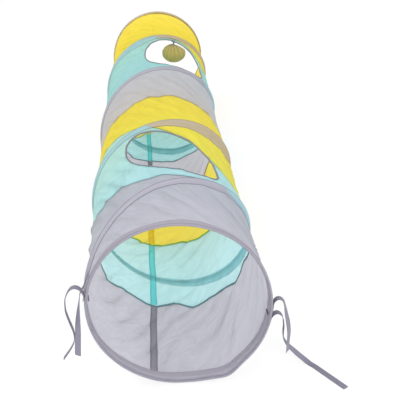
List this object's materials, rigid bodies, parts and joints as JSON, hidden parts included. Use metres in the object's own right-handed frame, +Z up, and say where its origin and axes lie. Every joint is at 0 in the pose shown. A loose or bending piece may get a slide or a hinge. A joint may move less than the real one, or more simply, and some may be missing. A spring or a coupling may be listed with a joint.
{
  "type": "agility tunnel",
  "caption": "Pop-up agility tunnel for small pets: striped see-through cloth tube on a wound spring wire, with top windows, a hanging ball and ribbon ties.",
  "frame": {"origin": "on the floor under the middle of the tube", "axes": "+Y along the tube from the tied end to the far end, +Z up, +X to the right seen from the tied end"},
  "size_m": [0.3874, 1.3331, 0.2532],
  "materials": {
    "spring_steel": "bright drawn wire",
    "grey_cloth": "thin plain-weave polyester, lets light through",
    "turquoise_cloth": "thin plain-weave polyester, lets light through",
    "yellow_cloth": "thin plain-weave polyester, lets light through",
    "hem_tape": "folded grosgrain tape, matte",
    "casing_tape": "folded tape, matte",
    "seam_grey": "lapped and overlocked cloth",
    "seam_teal": "lapped cloth",
    "seam_gold": "lapped cloth",
    "ribbon": "thin woven ribbon",
    "thread": "dense stitching",
    "ball_cloth": "soft gathered cloth over wadding"
  },
  "bodies": {
    "front_rim": {"front_hem": "hem_tape", "grey_front": "grey_cloth", "lap_grey_front": "seam_grey", "spring_wire": "spring_steel", "wire_casing": "casing_tape", "tie_left_long": "ribbon", "tie_left_short": "ribbon", "tie_right_short": "ribbon", "tie_right_long": "ribbon", "left_tack": "thread", "right_tack": "thread"},
    "turquoise_front_band": {"turquoise_front": "turquoise_cloth", "lap_turquoise_front": "seam_teal", "seam_1": "seam_grey", "front_window_binding": "casing_tape"},
    "yellow_front_band": {"yellow_front": "yellow_cloth", "lap_yellow_front": "seam_gold", "seam_2": "seam_grey"},
    "grey_rear_band": {"grey_rear": "grey_cloth", "lap_grey_rear": "seam_grey", "seam_3": "seam_grey"},
    "turquoise_rear_band": {"turquoise_rear": "turquoise_cloth", "lap_turquoise_rear": "seam_teal", "seam_4": "seam_grey", "rear_window_binding": "casing_tape"},
    "yellow_rear_band": {"yellow_rear": "yellow_cloth", "lap_yellow_rear": "seam_gold", "seam_5": "seam_grey"},
    "rear_rim": {"rear_hem": "hem_tape"},
    "ball_hanger": {"ball_tab": "hem_tape"},
    "bead": {"ball_bead": "ribbon"},
    "hanging_ball": {"ball_neck": "thread", "ball": "ball_cloth"}
  },
  "joints": [
    {"name": "collapse", "type": "slide", "parent": "front_rim", "child": "rear_rim", "axis": [0, 1, 0], "range_m": [-1.235, 0], "stiffness_N_per_m": 8, "springref_m": 0.05, "deforming": ["spring_wire", "wire_casing", "grey_front", "lap_grey_front"]},
    {"name": "turquoise_front_fold", "type": "slide", "parent": "front_rim", "child": "turquoise_front_band", "axis": [0, 1, 0], "range_m": [-0.174, 0], "deforming": ["turquoise_front", "lap_turquoise_front", "seam_1", "front_window_binding"]},
    {"name": "yellow_front_fold", "type": "slide", "parent": "front_rim", "child": "yellow_front_band", "axis": [0, 1, 0], "range_m": [-0.3519, 0], "deforming": ["yellow_front", "lap_yellow_front", "seam_2"]},
    {"name": "grey_rear_fold", "type": "slide", "parent": "front_rim", "child": "grey_rear_band", "axis": [0, 1, 0], "range_m": [-0.4976, 0], "deforming": ["grey_rear", "lap_grey_rear", "seam_3"]},
    {"name": "turquoise_rear_fold", "type": "slide", "parent": "front_rim", "child": "turquoise_rear_band", "axis": [0, 1, 0], "range_m": [-0.7137, 0], "deforming": ["turquoise_rear", "lap_turquoise_rear", "seam_4", "rear_window_binding"]},
    {"name": "yellow_rear_fold", "type": "slide", "parent": "front_rim", "child": "yellow_rear_band", "axis": [0, 1, 0], "range_m": [-0.9558, 0], "deforming": ["yellow_rear", "lap_yellow_rear", "seam_5"]},
    {"name": "ball_hanger_fold", "type": "slide", "parent": "front_rim", "child": "ball_hanger", "axis": [0, 1, 0], "range_m": [-0.9423, 0], "deforming": ["ball_tab"]},
    {"name": "ball_swing", "type": "hinge", "parent": "ball_hanger", "child": "bead", "pos_m": [0.03723, 0.33424, 0.24058], "axis": [1, 0, 0], "range_deg": [-22, 12]},
    {"name": "ball_sway", "type": "hinge", "parent": "bead", "child": "hanging_ball", "pos_m": [0.03723, 0.33424, 0.24058], "axis": [0, 1, 0], "range_deg": [-2, 35]}
  ],
  "couplings": [
    {"joint": "turquoise_front_fold", "follows": "collapse", "ratio": 0.1405},
    {"joint": "yellow_front_fold", "follows": "collapse", "ratio": 0.2845},
    {"joint": "grey_rear_fold", "follows": "collapse", "ratio": 0.4025},
    {"joint": "turquoise_rear_fold", "follows": "collapse", "ratio": 0.5775},
    {"joint": "yellow_rear_fold", "follows": "collapse", "ratio": 0.7735},
    {"joint": "ball_hanger_fold", "follows": "collapse", "ratio": 0.76261}
  ]
}
